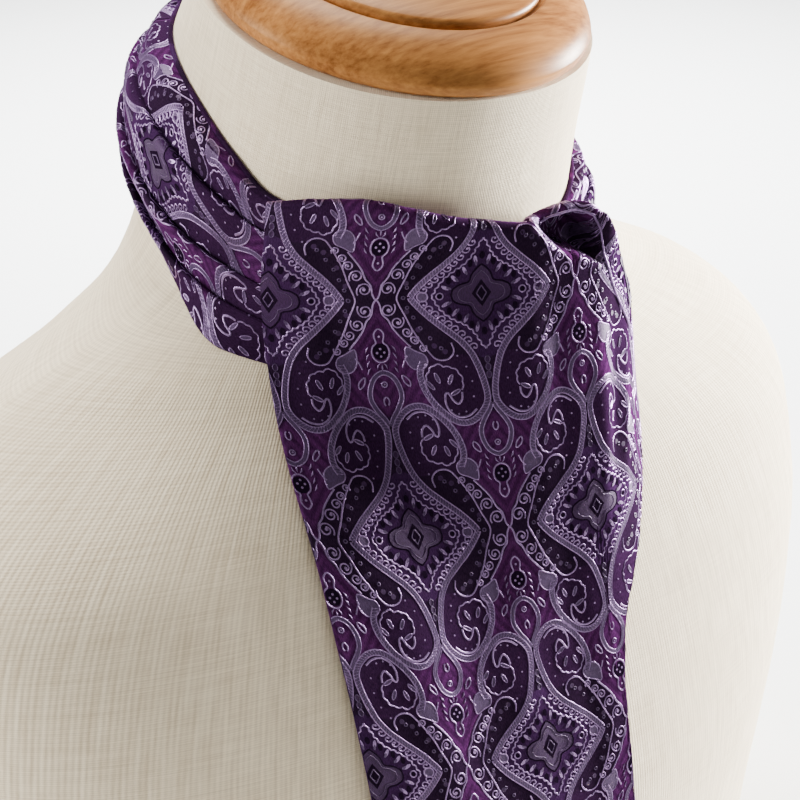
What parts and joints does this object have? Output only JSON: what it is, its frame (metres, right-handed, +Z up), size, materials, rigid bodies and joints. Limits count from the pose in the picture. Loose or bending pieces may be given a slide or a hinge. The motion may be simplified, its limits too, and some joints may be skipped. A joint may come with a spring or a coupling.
{
  "type": "silk cravat on dress form",
  "caption": "Pleated silk day cravat tied round the neck of a limbless linen dress form with a turned wooden neck cap, its wide front blade falling over the chest.",
  "frame": {"origin": "centre of the part's box on the table that the form stands on, a few millimetres behind the middle of the neck's top", "axes": "+Z up; the form faces -Y; +X is the wearer's left"},
  "size_m": [0.416, 0.2389, 0.4195],
  "materials": {
    "linen": "plain-woven beige linen, matt",
    "turned_wood": "honey-brown turned wood, clear gloss lacquer",
    "silk": "woven silk in aubergine and purple with a lilac paisley and medallion figure, soft sheen"
  },
  "bodies": {
    "root": {"form_body": "linen", "neck_cap": "turned_wood", "neckband_right": "silk", "neckband_back": "silk", "neckband_left": "silk", "crossing": "silk", "blade_under": "silk", "blade_front": "silk"}
  },
  "joints": []
}
